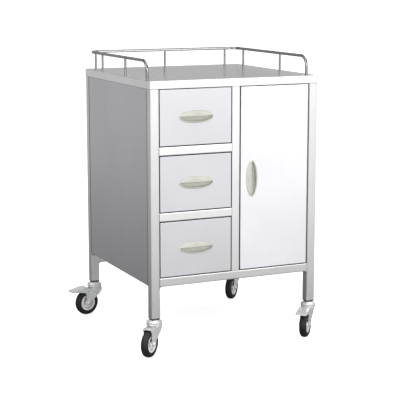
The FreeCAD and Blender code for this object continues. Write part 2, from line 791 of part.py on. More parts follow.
def door():
    base = front_rail_top + size.front_gap
    top = rim_base - size.front_gap
    middle = (base + top) / 2
    pull_x = half_tube + size.door_handle_out
    skin = front_pan("door_skin", door_wide, top - base, pull_x - door_middle, Rotation(Z_AXIS, 90))
    keep(place(skin, door_middle, front_face, middle, FACE_FRONT), "door_skin")

    slack = size.front_wall * 2 + 0.6
    liner = pan("door_liner", door_wide - slack, top - base - slack, size.front_wall * 2.5, size.front_wall,
                size.sheet_bend, size.sheet_bend * 0.6)
    keep(place(liner, door_middle, front_back, middle, FACE_BACK), "door_liner")

    pull = flush_pull("door_handle")
    upright = Rotation(Vector(0, 0, 1), Vector(-1, 0, 0), Vector(0, -1, 0), "XYZ")
    keep(place(pull, pull_x, front_face, middle, upright), "door_handle")
    door_hinge(base, top)
    door_catch(middle)


def hinge_leaf(name, wall, base, top, first):
    """A leaf on the walls' pair of X places, with every second knuckle of the hinge from the first."""
    pitch = size.knuckle_long + size.knuckle_space
    count = int((top - base).value // pitch.value)
    clear = pivot_y + size.leaf_clear
    pieces = [box(f"{name}_plate", wall, (clear, pivot_y + size.leaf_wide), (base, top))]
    for number in range(first, count, 2):
        low = base + pitch * number
        pieces.append(rod(f"{name}_knuckle_{number}", size.knuckle_size, size.knuckle_long,
                          pivot_x, pivot_y, low))
        pieces.append(box(f"{name}_tab_{number}", wall, (pivot_y, clear + 0.5),
                          (low, low + size.knuckle_long)))
    return pieces


def door_hinge(base, top):
    """A hinge the whole height of the door, its pin held by the leaf on the leg."""
    pin = rod("hinge_pin", size.hinge_pin, top - base, pivot_x, pivot_y, base)
    on_leg = hinge_leaf("frame_leaf", (leg_inner - size.leaf_wall, leg_inner), base, top, 0)
    keep(fuse("hinge_frame_leaf", [pin] + on_leg), "hinge_frame_leaf")
    edge = leg_inner - size.hinge_gap
    on_door = hinge_leaf("door_leaf", (edge, edge + size.leaf_wall), base, top, 1)
    bore = rod("hinge_bore", size.hinge_pin + 0.1, top - base + 2, pivot_x, pivot_y, base - 1)
    keep(cut("hinge_door_leaf", fuse("door_leaf_knuckles", on_door), bore), "hinge_door_leaf")


def door_catch(middle):
    """A magnetic catch behind the door's free edge and the plate it holds."""
    half = size.tube * 0.75
    keep(box("door_catch", (half_tube, half_tube + 12), (front_back + 1.3, front_back + 9),
             (middle - half, middle + half)), "door_catch")
    plate_x = half_tube + size.door_gap
    keep(box("catch_plate", (plate_x, plate_x + 12), (front_back, front_back + 1),
             (middle - half * 0.7, middle + half * 0.7)), "catch_plate")


# ---------------------------------------------------------------- casters

def caster_place(thing, corner):
    """Put a caster part below its leg, turned to the caster's rest heading."""
    right, back = CORNERS[corner]
    heading = getattr(size, f"heading_{corner}").value
    return place(thing, leg_middle * right, leg_middle * back, 0, Rotation(Z_AXIS, heading))


def caster_head(corner):
    """Kingpin, upper race and stem. It stays with the leg while the fork swivels below it."""
    pin = size.kingpin / 2
    rim = size.head_size / 2
    base = size.head_base
    head = turned(f"caster_head_{corner}", [
        (0, size.crown_base - 3.3), (pin * 1.8, size.crown_base - 3.3),
        (pin * 1.8, size.crown_base - 0.3), (pin, size.crown_base - 0.3), (pin, base),
        (rim, base), (rim, base + 5), (rim * 0.95, base + 5.6), (rim * 0.95, base + 6.4), (rim, base + 7),
        (rim, base + 11), (rim * 0.88, base + 13), (rim * 0.64, base + size.head_tall),
        (pin, base + size.head_tall), (pin, size.leg_foot + size.tube), (0, size.leg_foot + size.tube),
    ])
    return caster_place(head, corner)


def hexagon(across):
    """Corners of a hexagon measured across its flats."""
    reach = across / math.sqrt(3)
    angles = [math.radians(60 * n) for n in range(6)]
    return [(reach * round(math.cos(a), 9), reach * round(math.sin(a), 9)) for a in angles]


def stem_nut(corner):
    """Lock nut between the caster head and the leg."""
    nut = body(f"stem_nut_{corner}")
    outline = sketch(nut, "XY_Plane", f"nut_outline_{corner}")
    polygon(outline, hexagon(size.kingpin * 1.9))
    circle(outline, size.kingpin + 0.2)
    low = size.head_base + size.head_tall
    feature(nut, "Pad", outline, size.leg_foot - size.top_wall * 2.5 - low)
    right, back = CORNERS[corner]
    return place(nut, leg_middle * right, leg_middle * back, low)


def fork_outline(braked):
    """Cheek of the fork: crown at the swivel axis, foot round the axle, ear for the pedal's pin."""
    trail = size.caster_trail
    axle = wheel_radius
    points = [(-size.head_size * 0.46, size.crown_top), (-size.head_size * 0.46, size.crown_base - 4),
              (-size.head_size * 0.3, size.crown_base - 16), (trail - 9, axle + 2), (trail - 5, axle - 8),
              (trail + 5, axle - 8), (trail + 9, axle + 2), (trail + 10, size.crown_base - 10)]
    if braked:
        pin_x = size.pedal_pin_out
        pin_z = size.pedal_pin_height
        points += [(pin_x, pin_z - 8), (pin_x + 5.5, pin_z - 4), (pin_x + 5.5, pin_z + 1),
                   (pin_x + 2, pin_z + 4), (pin_x - 4, pin_z + 4), (pin_x - 12, size.crown_top)]
    else:
        points += [(trail + 14, size.crown_base - 5), (trail + 14, size.crown_top)]
    return points


def fork(corner):
    """Stamped fork: two cheeks and a crown, with the lower race standing on the crown."""
    braked = corner in BRAKED
    piece = body(f"fork_{corner}")
    wide = size.fork_gap + size.fork_wall * 2
    cheek = sketch(piece, "XZ_Plane", f"cheek_{corner}", lift=-wide / 2)
    polygon(cheek, fork_outline(braked))
    feature(piece, "Pad", cheek, wide)
    foot = measure(wheel_radius - 8).value
    ends = (size.caster_trail.value - 5, size.caster_trail.value + 5)
    dress(piece, "Fillet", measure(4), lambda edge: edge.BoundBox.YLength > 30 and
          abs(edge.BoundBox.ZMin - foot) < 1e-3 and any(abs(edge.BoundBox.XMin - x) < 1e-3 for x in ends))
    reach = size.head_size * 2
    slot = sketch(piece, "XZ_Plane", f"wheel_slot_{corner}", lift=-size.fork_gap / 2)
    polygon(slot, [(-reach, 0), (reach, 0), (reach, size.crown_base), (-reach, size.crown_base)])
    pocket(piece, slot, size.fork_gap, reverse=True)
    if braked:
        above = sketch(piece, "XZ_Plane", f"ear_slot_{corner}", lift=-size.fork_gap / 2)
        start = size.pedal_pin_out - 12
        polygon(above, [(start, size.crown_base), (reach, size.crown_base), (reach, reach), (start, reach)])
        pocket(piece, above, size.fork_gap, reverse=True)
    race = sketch(piece, "XY_Plane", f"race_{corner}", lift=size.crown_top - 1)
    circle(race, size.head_size * 0.92)
    feature(piece, "Pad", race, size.race_top - size.crown_top + 1, name=f"race_pad_{corner}")
    race_edge = ring(size.head_size * 0.46, size.race_top)
    dress(piece, "Fillet", measure(2), race_edge)
    bore = sketch(piece, "XY_Plane", f"kingpin_bore_{corner}", lift=size.crown_base - 1)
    circle(bore, size.kingpin + 0.16)
    pocket(piece, bore, size.head_size, reverse=True)
    holes = sketch(piece, "XZ_Plane", f"axle_holes_{corner}", lift=-wide)
    circle(holes, size.axle_size + 0.1, size.caster_trail, wheel_radius, label="axle")
    if braked:
        circle(holes, size.pedal_pin + 0.12, size.pedal_pin_out, size.pedal_pin_height, label="pin")
    pocket(piece, holes, wide * 2, reverse=True)
    return caster_place(piece, corner)


def axle(corner):
    """Axle bolt with a round head at each end of the fork."""
    half = size.fork_gap / 2 + size.fork_wall
    shank = size.axle_size / 2
    head = size.axle_size * 0.85
    bolt = turned(f"axle_{corner}", [
        (0, -(half + 4.5)), (head * 0.75, -(half + 4.5)), (head, -(half + 3)), (head, -(half + 0.05)),
        (shank, -(half + 0.05)), (shank, half + 0.05), (head, half + 0.05), (head, half + 3),
        (head * 0.75, half + 4.5), (0, half + 4.5),
    ], plane="XY_Plane")
    return wheel_place(bolt, corner)


def wheel_place(thing, corner):
    """Put a part that is centred on the wheel's axle at the end of the caster's trail."""
    right, back = CORNERS[corner]
    heading = getattr(size, f"heading_{corner}").value
    ahead = math.cos(math.radians(heading))
    across = math.sin(math.radians(heading))
    return place(thing, leg_middle * right + size.caster_trail * ahead,
                 leg_middle * back + size.caster_trail * across, wheel_radius,
                 Rotation(Z_AXIS, heading))


def wheel_core(corner):
    """Moulded wheel centre: hub, web and rim."""
    bore = size.axle_size / 2 + 0.06
    hub = size.axle_size * 1.2
    rim = size.core_size / 2
    rim_inner = rim - 5
    half = size.wheel_width / 2 - 1.5
    hub_half = size.fork_gap / 2 - 1
    web = size.wheel_width * 0.12
    core = turned(f"wheel_core_{corner}", [
        (bore, -hub_half), (hub - 1.5, -hub_half), (hub, -(hub_half - 1.5)), (hub + 1, -web),
        (rim_inner - 1, -web), (rim_inner, -half), (rim, -half), (rim, half), (rim_inner, half),
        (rim_inner - 1, web), (hub + 1, web), (hub, hub_half - 1.5), (hub - 1.5, hub_half), (bore, hub_half),
    ], plane="XY_Plane")
    return wheel_place(core, corner)


def tyre(corner):
    """Solid rubber tyre with a crowned tread."""
    inner = size.core_size / 2 + 0.05
    half = size.wheel_width / 2
    tread = turned(f"tyre_{corner}", [
        (inner, -half + 1), (inner + 2, -half), (wheel_radius - 6, -half), (wheel_radius - 2.2, -half * 0.76),
        (wheel_radius - 0.6, -half * 0.4), (wheel_radius, 0), (wheel_radius - 0.6, half * 0.4),
        (wheel_radius - 2.2, half * 0.76), (wheel_radius - 6, half), (inner + 2, half), (inner, half - 1),
    ], plane="XY_Plane")
    return wheel_place(tread, corner)


def brake_pedal(corner):
    """Foot pedal over the wheel with side ears, its pin and the tongue that reaches for the tyre."""
    pin_x = size.pedal_pin_out
    pin_z = size.pedal_pin_height
    tip = size.pedal_tip_out
    inside = size.fork_gap + size.fork_wall * 2 + 1
    wide = inside + 4
    pedal = body(f"pedal_{corner}")
    side = sketch(pedal, "XZ_Plane", f"pedal_side_{corner}", lift=-wide / 2)
    polygon(side, [(pin_x - 22, pin_z + 8.5), (pin_x - 22, pin_z + 11), (pin_x - 6, pin_z + 10.5),
                   (tip - 10, pin_z + 4), (tip, pin_z + 2.5), (tip, pin_z - 3), (tip - 3, pin_z - 3),
                   (pin_x + 12, pin_z - 5), (pin_x + 4, pin_z - 6), (pin_x - 4, pin_z - 5),
                   (pin_x - 10, pin_z + 3)])
    feature(pedal, "Pad", side, wide)
    room = sketch(pedal, "XZ_Plane", f"pedal_room_{corner}", lift=-inside / 2)
    polygon(room, [(pin_x - 30, pin_z + 8.5), (pin_x - 6.6, pin_z + 8), (tip - 10.4, pin_z + 1.5),
                   (tip - 2.5, pin_z + 0.2), (tip - 2.5, pin_z - 30), (pin_x - 30, pin_z - 30)])
    pocket(pedal, room, inside, reverse=True)
    pin = sketch(pedal, "XZ_Plane", f"pedal_pin_{corner}", lift=-(wide / 2 + 1))
    circle(pin, size.pedal_pin, pin_x, pin_z)
    feature(pedal, "Pad", pin, wide + 2, name=f"pedal_pin_pad_{corner}")
    tongue = sketch(pedal, "XZ_Plane", f"pedal_tongue_{corner}", lift=-wide / 4)
    polygon(tongue, [(pin_x - 2.5, pin_z), (pin_x + 2.5, pin_z + 1), (pin_x + 0.8, pin_z - 9.6),
                     (pin_x - 3.6, pin_z - 7.6)])
    feature(pedal, "Pad", tongue, wide / 2, name=f"pedal_tongue_pad_{corner}")
    return caster_place(pedal, corner)


def casters():
    keep(group("caster_heads", [caster_head(corner) for corner in CORNERS]), "caster_heads")
    keep(group("caster_stem_nuts", [stem_nut(corner) for corner in CORNERS]), "caster_stem_nuts")
    for corner in CORNERS:
        keep(fork(corner), f"caster_fork_{corner}")
        keep(axle(corner), f"wheel_axle_{corner}")
        keep(wheel_core(corner), f"wheel_core_{corner}")
        keep(tyre(corner), f"tyre_{corner}")
        if corner in BRAKED:
            keep(brake_pedal(corner), f"brake_pedal_{corner}")


# ---------------------------------------------------------------- assembly

def build():
    legs()
    leg_end_plugs()
    frame_rails()
    drawer_dividers()
    centre_stile()
    side_panels()
    back_panel()
    floor_panel()
    partition_panel()
    tabletop()
    shelf()
    guard_rail()
    rail_posts()
    slide_tracks()
    for number, label in enumerate(DRAWERS):
        drawer(number, label)
    door()
    casters()
    doc.recompute()


def check():
    for thing in doc.Objects:
        if "Invalid" in thing.State or "Error" in thing.State:
            raise RuntimeError(f"{thing.Name} failed to build")
    for thing in nodes:
        if thing.Shape.isNull() or not thing.Shape.isValid():
            raise RuntimeError(f"{thing.Label} has no valid shape")


def export():
    os.makedirs("parts", exist_ok=True)
    for thing in nodes:
        thing.Shape.exportStep(f"parts/{thing.Label}.step")
    print(len(nodes), "nodes written")


build()
check()
export()
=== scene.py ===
"""The looks of the crash cart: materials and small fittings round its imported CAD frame."""
import math

import bmesh
import bpy
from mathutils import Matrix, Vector


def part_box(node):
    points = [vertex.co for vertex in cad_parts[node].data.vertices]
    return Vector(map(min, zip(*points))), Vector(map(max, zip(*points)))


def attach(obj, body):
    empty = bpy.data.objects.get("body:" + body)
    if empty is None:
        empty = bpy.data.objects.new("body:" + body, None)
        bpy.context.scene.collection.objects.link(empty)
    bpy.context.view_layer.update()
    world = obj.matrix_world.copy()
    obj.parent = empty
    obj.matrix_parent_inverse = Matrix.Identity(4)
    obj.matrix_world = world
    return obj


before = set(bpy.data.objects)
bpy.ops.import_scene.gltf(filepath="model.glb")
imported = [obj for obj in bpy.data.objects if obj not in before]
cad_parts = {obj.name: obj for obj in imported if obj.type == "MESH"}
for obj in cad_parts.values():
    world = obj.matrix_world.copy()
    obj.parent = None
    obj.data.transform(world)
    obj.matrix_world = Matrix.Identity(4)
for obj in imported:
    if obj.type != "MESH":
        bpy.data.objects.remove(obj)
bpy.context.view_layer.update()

CORNERS = ("front_left", "front_right", "rear_left", "rear_right")
DRAWERS = ("bottom", "middle", "top")
STUDIO = 150.0          # radius of the floor and of the backdrop, in metres
EDGE = 0.0007           # how far a sheet's edge is rounded over and rubbed
GAP_SHADE_REACH = 0.006             # how wide a gap between sheets still gets painted shade
PLASTIC_SHADE_REACH = 0.014  # the painted shade's reach for the pulls and other mouldings
CASTER_SHADE_REACH = 0.012   # the painted shade's reach for the casters' plated parts
GRAIN_DEPTH = 0.0002    # depth of brush lines, spangle, dimples and pores
FINE_LINES = 700        # brush lines in a metre across the grain
BROAD_LINES = 60        # bands of tone in a metre across the grain


# ---------------------------------------------------------------- node graphs

class Shader:
    """A material and the few kinds of node that the finishes here are made of."""

    def __init__(self, name, **sockets):
        self.material = bpy.data.materials.new(name)
        self.material.use_nodes = True
        self.tree = self.material.node_tree
        self.surface = self.tree.nodes["Principled BSDF"]
        self.place = self.node("ShaderNodeTexCoord").outputs["Object"]
        for socket, value in sockets.items():
            self.surface.inputs[socket.replace("_", " ")].default_value = value

    def node(self, kind, **values):
        made = self.tree.nodes.new(kind)
        for name, value in values.items():
            setattr(made, name, value)
        return made

    def join(self, source, target):
        self.tree.links.new(source, target)

    def stretched(self, scale):
        """The place on the object, scaled along each axis, so that a texture runs in streaks."""
        mapping = self.node("ShaderNodeMapping")
        mapping.inputs["Scale"].default_value = scale
        self.join(self.place, mapping.inputs["Vector"])
        return mapping.outputs["Vector"]

    def noise(self, scale, detail=3.0, stretch=(1, 1, 1)):
        texture = self.node("ShaderNodeTexNoise")
        texture.inputs["Scale"].default_value = scale
        texture.inputs["Detail"].default_value = detail
        self.join(self.stretched(stretch), texture.inputs["Vector"])
        return texture.outputs["Fac"]

    def cells(self, scale, stretch=(1, 1, 1)):
        texture = self.node("ShaderNodeTexVoronoi")
        texture.inputs["Scale"].default_value = scale
        self.join(self.stretched(stretch), texture.inputs["Vector"])
        split = self.node("ShaderNodeSeparateColor")
        self.join(texture.outputs["Color"], split.inputs["Color"])
        return split.outputs["Red"]

    def between(self, factor, low, high, start=0.3, end=0.7):
        """The factor's stretch from start to end, spread between two values."""
        spread = self.node("ShaderNodeMapRange")
        values = {"From Min": start, "From Max": end, "To Min": low, "To Max": high}
        for name, value in values.items():
            spread.inputs[name].default_value = value
        self.join(factor, spread.inputs["Value"])
        return spread.outputs["Result"]

    def colours(self, factor, *stops):
        ramp = self.node("ShaderNodeValToRGB")
        elements = ramp.color_ramp.elements
        while len(elements) < len(stops):
            elements.new(0.5)
        for element, (position, colour) in zip(elements, stops):
            element.position = position
            element.color = (*colour, 1)
        self.join(factor, ramp.inputs["Fac"])
        return ramp.outputs["Color"]

    def times(self, first, second):
        """Two colours multiplied."""
        product = self.node("ShaderNodeMix", data_type="RGBA", blend_type="MULTIPLY")
        product.inputs["Factor"].default_value = 1
        self.join(first, product.inputs["A"])
        self.join(second, product.inputs["B"])
        return product.outputs["Result"]

    def rounded(self, radius):
        """The surface's normal with its edges rounded over."""
        bevel = self.node("ShaderNodeBevel", samples=4)
        bevel.inputs["Radius"].default_value = radius
        return bevel.outputs["Normal"]

    def edges(self, radius, low, high):
        """A grey that goes from low on the flat to high where an edge has been rubbed bright."""
        shape = self.node("ShaderNodeNewGeometry").outputs["Normal"]
        turn = self.node("ShaderNodeVectorMath", operation="DOT_PRODUCT")
        self.join(self.rounded(radius), turn.inputs[0])
        self.join(shape, turn.inputs[1])
        return self.colours(turn.outputs["Value"], (0.75, grey(high)), (0.99, grey(low)))

    def painted_hollow_shade(self, reach, low):
        """A painted shade: a grey that goes down to low in gaps and hollows narrower than reach, where
        shade falls.
        """
        hollow_shade = self.node("ShaderNodeAmbientOcclusion", samples=8)
        hollow_shade.inputs["Distance"].default_value = reach
        return self.colours(hollow_shade.outputs["AO"], (0.3, grey(low)), (0.8, grey(1.0)))

    def bump(self, *heights):
        """Bumps from (height, strength, distance in metres), one on top of the other."""
        normal = self.rounded(EDGE)
        for height, strength, distance in heights:
            bump = self.node("ShaderNodeBump")
            bump.inputs["Strength"].default_value = strength
            bump.inputs["Distance"].default_value = distance
            self.join(height, bump.inputs["Height"])
            self.join(normal, bump.inputs["Normal"])
            normal = bump.outputs["Normal"]
        self.join(normal, self.surface.inputs["Normal"])

    def paint(self, colour=None, roughness=None):
        if colour:
            self.join(colour, self.surface.inputs["Base Color"])
        if roughness:
            self.join(roughness, self.surface.inputs["Roughness"])


def grey(value, warmth=0.0):
    """A grey a little warmer, or cooler below nought, than neutral."""
    return value * (1 + warmth), value * (1 - abs(warmth)), value * (1 - warmth)


# ---------------------------------------------------------------- finishes

def brushed_steel(name, tone, rough, along, streak=0.03, warmth=0.0):
    """Satin stainless sheet: fine brush lines along one axis, and faint handling marks over them."""
    steel = Shader(name, Metallic=1.0)
    fine = tuple(4 if axis == along else FINE_LINES for axis in "XYZ")
    broad = tuple(1 if axis == along else BROAD_LINES for axis in "XYZ")
    lines = steel.noise(1.0, 4, fine)
    bands = steel.noise(1.0, 3, broad)
    marks = steel.noise(5.0, 5)
    base = steel.colours(bands, (0.3, grey(tone * (1 - streak), warmth)), (0.7, grey(tone, warmth)))
    smears = steel.colours(marks, (0.35, grey(0.965)), (0.6, grey(1.0)))
    worn_and_shaded = steel.times(steel.times(base, smears), steel.edges(EDGE, 1.0, 1.12))
    # Painted shade: the steel goes darker in the gaps between sheets and in corners.
    worn_and_shaded = steel.times(worn_and_shaded, steel.painted_hollow_shade(GAP_SHADE_REACH, 0.15))
    steel.paint(worn_and_shaded, steel.between(lines, rough - 0.05, rough + 0.07))
    steel.bump((lines, 0.05, GRAIN_DEPTH), (marks, 0.02, 0.001))
    return steel.material


def front_sheet(name, tone):
    """The drawer fronts and door: satin sheet under a pale film with a faint lavender cast."""
    sheet = Shader(name, Metallic=0.55, IOR=1.5, Coat_Weight=0.25, Coat_Roughness=0.25)
    grain = sheet.noise(1.0, 3, (30, 30, 500))
    clouds = sheet.noise(4.0, 4)
    film = tone, tone, tone * 1.035
    base = sheet.colours(clouds, (0.35, [part * 0.95 for part in film]), (0.65, film))
    # Painted shade: the fronts go darker in the gaps round them.
    worn_and_shaded = sheet.times(sheet.times(base, sheet.edges(EDGE, 1.0, 0.9)), sheet.painted_hollow_shade(GAP_SHADE_REACH, 0.15))
    sheet.paint(worn_and_shaded, sheet.between(grain, 0.36, 0.46))
    sheet.bump((grain, 0.04, GRAIN_DEPTH), (clouds, 0.03, 0.002))
    return sheet.material


def polished_tube(name):
    """Polished stainless tube with faint drawn lines and finger marks."""
    tube = Shader(name, Metallic=1.0)
    marks = tube.noise(40.0, 5)
    base = tube.colours(marks, (0.3, grey(0.28)), (0.7, grey(0.36)))
    tube.paint(base, tube.between(marks, 0.12, 0.24))
    tube.bump((tube.noise(900.0, 2), 0.02, 0.0001),)
    return tube.material


def galvanised(name, tone):
    """Galvanised sheet with its spangle."""
    sheet = Shader(name, Metallic=0.9)
    spangle = sheet.cells(90.0)
    base = sheet.colours(spangle, (0.0, grey(tone * 0.86, -0.01)), (1.0, grey(tone * 1.08, -0.01)))
    sheet.paint(base, sheet.between(spangle, 0.34, 0.5, 0, 1))
    sheet.bump((spangle, 0.05, GRAIN_DEPTH), (sheet.noise(300.0, 3), 0.05, GRAIN_DEPTH))
    return sheet.material


def zinc_plate(name):
    """Bright zinc on stamped steel: faint blue and straw tints, orange-peel dimples."""
    zinc = Shader(name, Metallic=0.5)
    tint = zinc.noise(60.0, 4)
    base = zinc.colours(tint, (0.3, (0.86, 0.89, 0.92)), (0.5, (0.93, 0.94, 0.94)),
                        (0.7, (0.94, 0.93, 0.90)))
    grime_and_shade = zinc.colours(zinc.noise(45.0, 4), (0.25, grey(0.88)), (0.5, grey(1.0)))
    # Dirt in patches, and painted shade in the hollows of the plated parts.
    grime_and_shade = zinc.times(grime_and_shade, zinc.painted_hollow_shade(CASTER_SHADE_REACH, 0.3))
    zinc.paint(zinc.times(zinc.times(base, grime_and_shade), zinc.edges(EDGE, 1.0, 1.06)),
               zinc.between(zinc.noise(140.0, 4), 0.18, 0.3))
    zinc.bump((zinc.noise(500.0, 3), 0.04, GRAIN_DEPTH), (tint, 0.05, 0.0004))
    return zinc.material


def moulded_plastic(name, low, high, rough, hollow_shade=0.6, grain=900.0, bump=0.08):
    """A moulding with a fine spark texture and slight flow marks."""
    plastic = Shader(name, IOR=1.48)
    flow = plastic.noise(35.0, 4)
    texture = plastic.noise(grain, 2)
    base = plastic.colours(flow, (0.35, low), (0.65, high))
    # Painted shade in the moulding's hollows: the pulls' bowls and the wheel cores' recesses.
    worn_and_shaded = plastic.times(plastic.edges(EDGE, 1.0, 1.1), plastic.painted_hollow_shade(PLASTIC_SHADE_REACH, hollow_shade))
    plastic.paint(plastic.times(base, worn_and_shaded),
                  plastic.between(texture, rough - 0.06, rough + 0.06))
    plastic.bump((texture, bump, GRAIN_DEPTH), (flow, 0.03, 0.0005))
    return plastic.material


def rubber(name):
    """Black tyre rubber, greyed by dust in patches."""
    tyre = Shader(name, IOR=1.5)
    dust = tyre.noise(55.0, 5)
    pores = tyre.noise(1200.0, 2)
    base = tyre.colours(dust, (0.4, grey(0.008, -0.02)), (0.62, grey(0.014, -0.02)), (0.8, grey(0.03)))
    tyre.paint(tyre.times(base, tyre.edges(EDGE, 1.0, 1.6)), tyre.between(dust, 0.42, 0.62))
    tyre.bump((pores, 0.15, GRAIN_DEPTH), (dust, 0.08, 0.0005))
    return tyre.material


def finish_frame():
    """Gives every CAD node its finish."""
    # These copies of one satin steel differ in tone as painted light and shade: the dividers and stile
    # brighter, the side and back panels darker than the legs and rails.
    upright = brushed_steel("steel_upright", 0.83, 0.34, "Z")
    across = brushed_steel("steel_across", 0.87, 0.34, "X")
    divider = brushed_steel("steel_divider_painted_light", 0.97, 0.34, "X")
    stile = brushed_steel("steel_stile_painted_light", 0.93, 0.34, "Z")
    top = brushed_steel("steel_top", 0.92, 0.2, "X", warmth=-0.006)
    side = brushed_steel("steel_side_painted_shade", 0.71, 0.36, "Z", streak=0.02, warmth=-0.02)
    back = brushed_steel("steel_back_painted_shade", 0.80, 0.36, "Z", streak=0.02, warmth=-0.02)
    # One front sheet in two tones as painted shade and light: the drawer fronts darker, the door
    # brighter.
    drawer_front = front_sheet("steel_drawers_painted_shade", 0.63)
    door_front = front_sheet("steel_door_painted_light", 0.83)
    rail = polished_tube("steel_tube")
    sheet = galvanised("galvanised_sheet", 0.42)
    # The hinge's dark tone is painted shade: the same galvanised sheet, darkened as if in shadow.
    hinge = galvanised("hinge_sheet_painted_shade", 0.2)
    zinc = zinc_plate("zinc_plate")
    pull = moulded_plastic("pull_plastic", (0.43, 0.43, 0.385), (0.48, 0.48, 0.43), 0.42, hollow_shade=0.75)
    dark_plastic = moulded_plastic("plug_plastic", grey(0.04), grey(0.06), 0.5)
    core = moulded_plastic("core_plastic", grey(0.8), grey(0.88), 0.4, hollow_shade=0.2)
    magnet = moulded_plastic("catch_plastic", grey(0.55), grey(0.62), 0.45)
    tyre = rubber("tyre_rubber")
    finishes = {
        "front_bottom_rail": across, "rear_bottom_rail": across, "front_top_rail": across,
        "drawer_dividers": divider, "centre_stile": stile, "tabletop": top,
        "side_panel_left": side, "side_panel_right": side, "back_panel": back,
        "guard_rail": rail, "rail_posts": rail, "leg_end_plugs": dark_plastic,
        "hinge_frame_leaf": hinge, "hinge_door_leaf": hinge, "door_catch": magnet,
        "door_skin": door_front, "door_handle": pull,
        "caster_heads": zinc, "caster_stem_nuts": zinc,
    }
    for corner in CORNERS:
        finishes[f"leg_{corner}"] = upright
        finishes[f"caster_fork_{corner}"] = zinc
        finishes[f"wheel_axle_{corner}"] = zinc
        finishes[f"brake_pedal_{corner}"] = zinc
        finishes[f"wheel_core_{corner}"] = core
        finishes[f"tyre_{corner}"] = tyre
    for drawer in DRAWERS:
        finishes[f"drawer_{drawer}_front"] = drawer_front
        finishes[f"drawer_{drawer}_handle"] = pull
    for name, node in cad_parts.items():
        for slot in node.material_slots:
            slot.material = finishes.get(name, sheet)


# ---------------------------------------------------------------- small pieces

FILLET_STEPS = 8      # straight stretches in a weld's concave side
WELD_RADIUS = 0.009
WELD_INSET = 0.0015   # how far a weld stops short of the tube's faces
SHADOW_LINE_WIDTH = 0.0009
SHADOW_LINE_SKIN = 0.0003    # how far a painted shadow line stands out of the sheet

def piece_from(name, mesh_maker, material, body):
    """A piece whose mesh is filled by mesh_maker(bmesh), riding on a body."""
    shape = bmesh.new()
    mesh_maker(shape)
    bmesh.ops.recalc_face_normals(shape, faces=shape.faces)
    mesh = bpy.data.meshes.new(name)
    shape.to_mesh(mesh)
    shape.free()
    piece = bpy.data.objects.new(name, mesh)
    bpy.context.scene.collection.objects.link(piece)
    piece.data.materials.append(material)
    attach(piece, body)
    return piece


def concave_corner(shape, across, up, low, high, radius, swap):
    """A weld's concave fillet below an edge, drawn in the plane of across and up.

    The corner is at across, up, and the fillet goes from it sideways by the signed radius and
    downwards. It's drawn out from low to high along the third axis.
    """
    size = abs(radius)
    outline = [(across, up), (across + radius, up)]
    for step in range(1, FILLET_STEPS):
        turn = math.pi / 2 * step / FILLET_STEPS
        outline.append((across + radius * (1 - math.sin(turn)), up - size * (1 - math.cos(turn))))
    outline.append((across, up - size))
    ends = []
    for depth in (low, high):
        points = [(depth, a, z) if swap else (a, depth, z) for a, z in outline]
        ends.append([shape.verts.new(point) for point in points])
    shape.faces.new(ends[0])
    shape.faces.new(ends[1])
    count = len(outline)
    for number in range(count):
        following = (number + 1) % count
        shape.faces.new((ends[0][number], ends[0][following], ends[1][following], ends[1][number]))


def weld_corners(material):
    """Ground welds: concave corners below the bottom rails and the side panels, against the legs."""
    def fill(shape):
        for rail in ("front_bottom_rail", "rear_bottom_rail"):
            low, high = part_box(rail)
            for across, side in ((low.x, 1), (high.x, -1)):
                concave_corner(shape, across, low.z, low.y + WELD_INSET, high.y - WELD_INSET,
                               WELD_RADIUS * side, False)
        for side in ("left", "right"):
            low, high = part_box(f"side_panel_{side}")
            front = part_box(f"leg_front_{side}")[1].y
            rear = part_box(f"leg_rear_{side}")[0].y
            for across, turn in ((front, 1), (rear, -1)):
                concave_corner(shape, across, low.z, low.x + WELD_INSET, high.x - WELD_INSET,
                               WELD_RADIUS * turn, True)

    piece_from("weld_corners", fill, material, "cabinet")


def strip(shape, low, high):
    """A bar between two opposite corners."""
    corners = [shape.verts.new((x, y, z)) for x in (low[0], high[0])
               for y in (low[1], high[1]) for z in (low[2], high[2])]
    bmesh.ops.convex_hull(shape, input=corners)


def painted_shadow_lines(material):
    """Painted shadow: thin dark strips where shade falls under the top's rim and down the side panels,
    against the legs.
    """
    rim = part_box("tabletop")[0].z
    under = rim - SHADOW_LINE_WIDTH
    half = SHADOW_LINE_WIDTH / 2

    def fill(shape):
        for side, outward in (("left", -1), ("right", 1)):
            front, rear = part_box(f"leg_front_{side}"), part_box(f"leg_rear_{side}")
            face = front[0].x if side == "left" else front[1].x
            out, back = face + SHADOW_LINE_SKIN * outward, face - SHADOW_LINE_SKIN * outward
            strip(shape, (back, front[0].y, under), (out, rear[1].y, rim))
            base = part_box(f"side_panel_{side}")[0].z
            for y in (front[1].y, rear[0].y):
                strip(shape, (back, y - half, base), (out, y + half, under))
        for upright in ("leg_front_left", "leg_front_right", "centre_stile"):
            low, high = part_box(upright)
            strip(shape, (low.x, low.y - SHADOW_LINE_SKIN, under), (high.x, low.y + SHADOW_LINE_SKIN, rim))
        left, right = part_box("leg_rear_left"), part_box("leg_rear_right")
        strip(shape, (left[0].x, left[1].y - SHADOW_LINE_SKIN, under), (right[1].x, left[1].y + SHADOW_LINE_SKIN, rim))

    piece_from("painted_shadow_lines", fill, material, "cabinet")


# ---------------------------------------------------------------- floor, light and camera

FLOOR_DROP = 0.004        # how far the floor that lights the cart lies below the white one
EYE_AZIMUTH = -24.55      # degrees round from the front, to the left
EYE_ELEVATION = 10.09     # degrees up
EYE_DISTANCE = 4.4055
AIM_RIGHT = 0.0085        # how far right of the cart's middle the eye looks
AIM_BELOW_TOP = 0.4448
LENS = 114.1              # millimetres, on a sensor 36 wide

